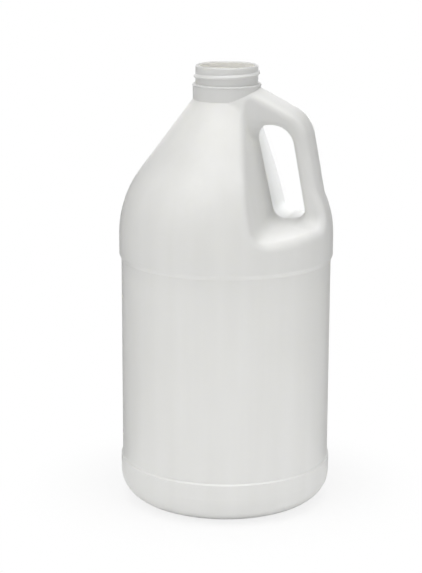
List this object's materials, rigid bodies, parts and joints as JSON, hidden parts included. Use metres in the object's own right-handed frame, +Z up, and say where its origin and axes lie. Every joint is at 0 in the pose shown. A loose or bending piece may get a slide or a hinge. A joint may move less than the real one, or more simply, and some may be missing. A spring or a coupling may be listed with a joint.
{
  "type": "handled plastic bottle",
  "caption": "Round blow-moulded plastic bottle with a hollow side handle, a recessed label panel, a domed shoulder and a short screw neck, open at the top.",
  "frame": {"origin": "middle of the base on the standing plane", "axes": "+Z up along the neck's axis, +X towards the handle, Y across the mould's parting plane"},
  "size_m": [0.1206, 0.1206, 0.2484],
  "materials": {
    "white_polyethylene": "satin, slightly translucent natural white"
  },
  "bodies": {
    "root": {"bottle": "white_polyethylene"}
  },
  "joints": []
}
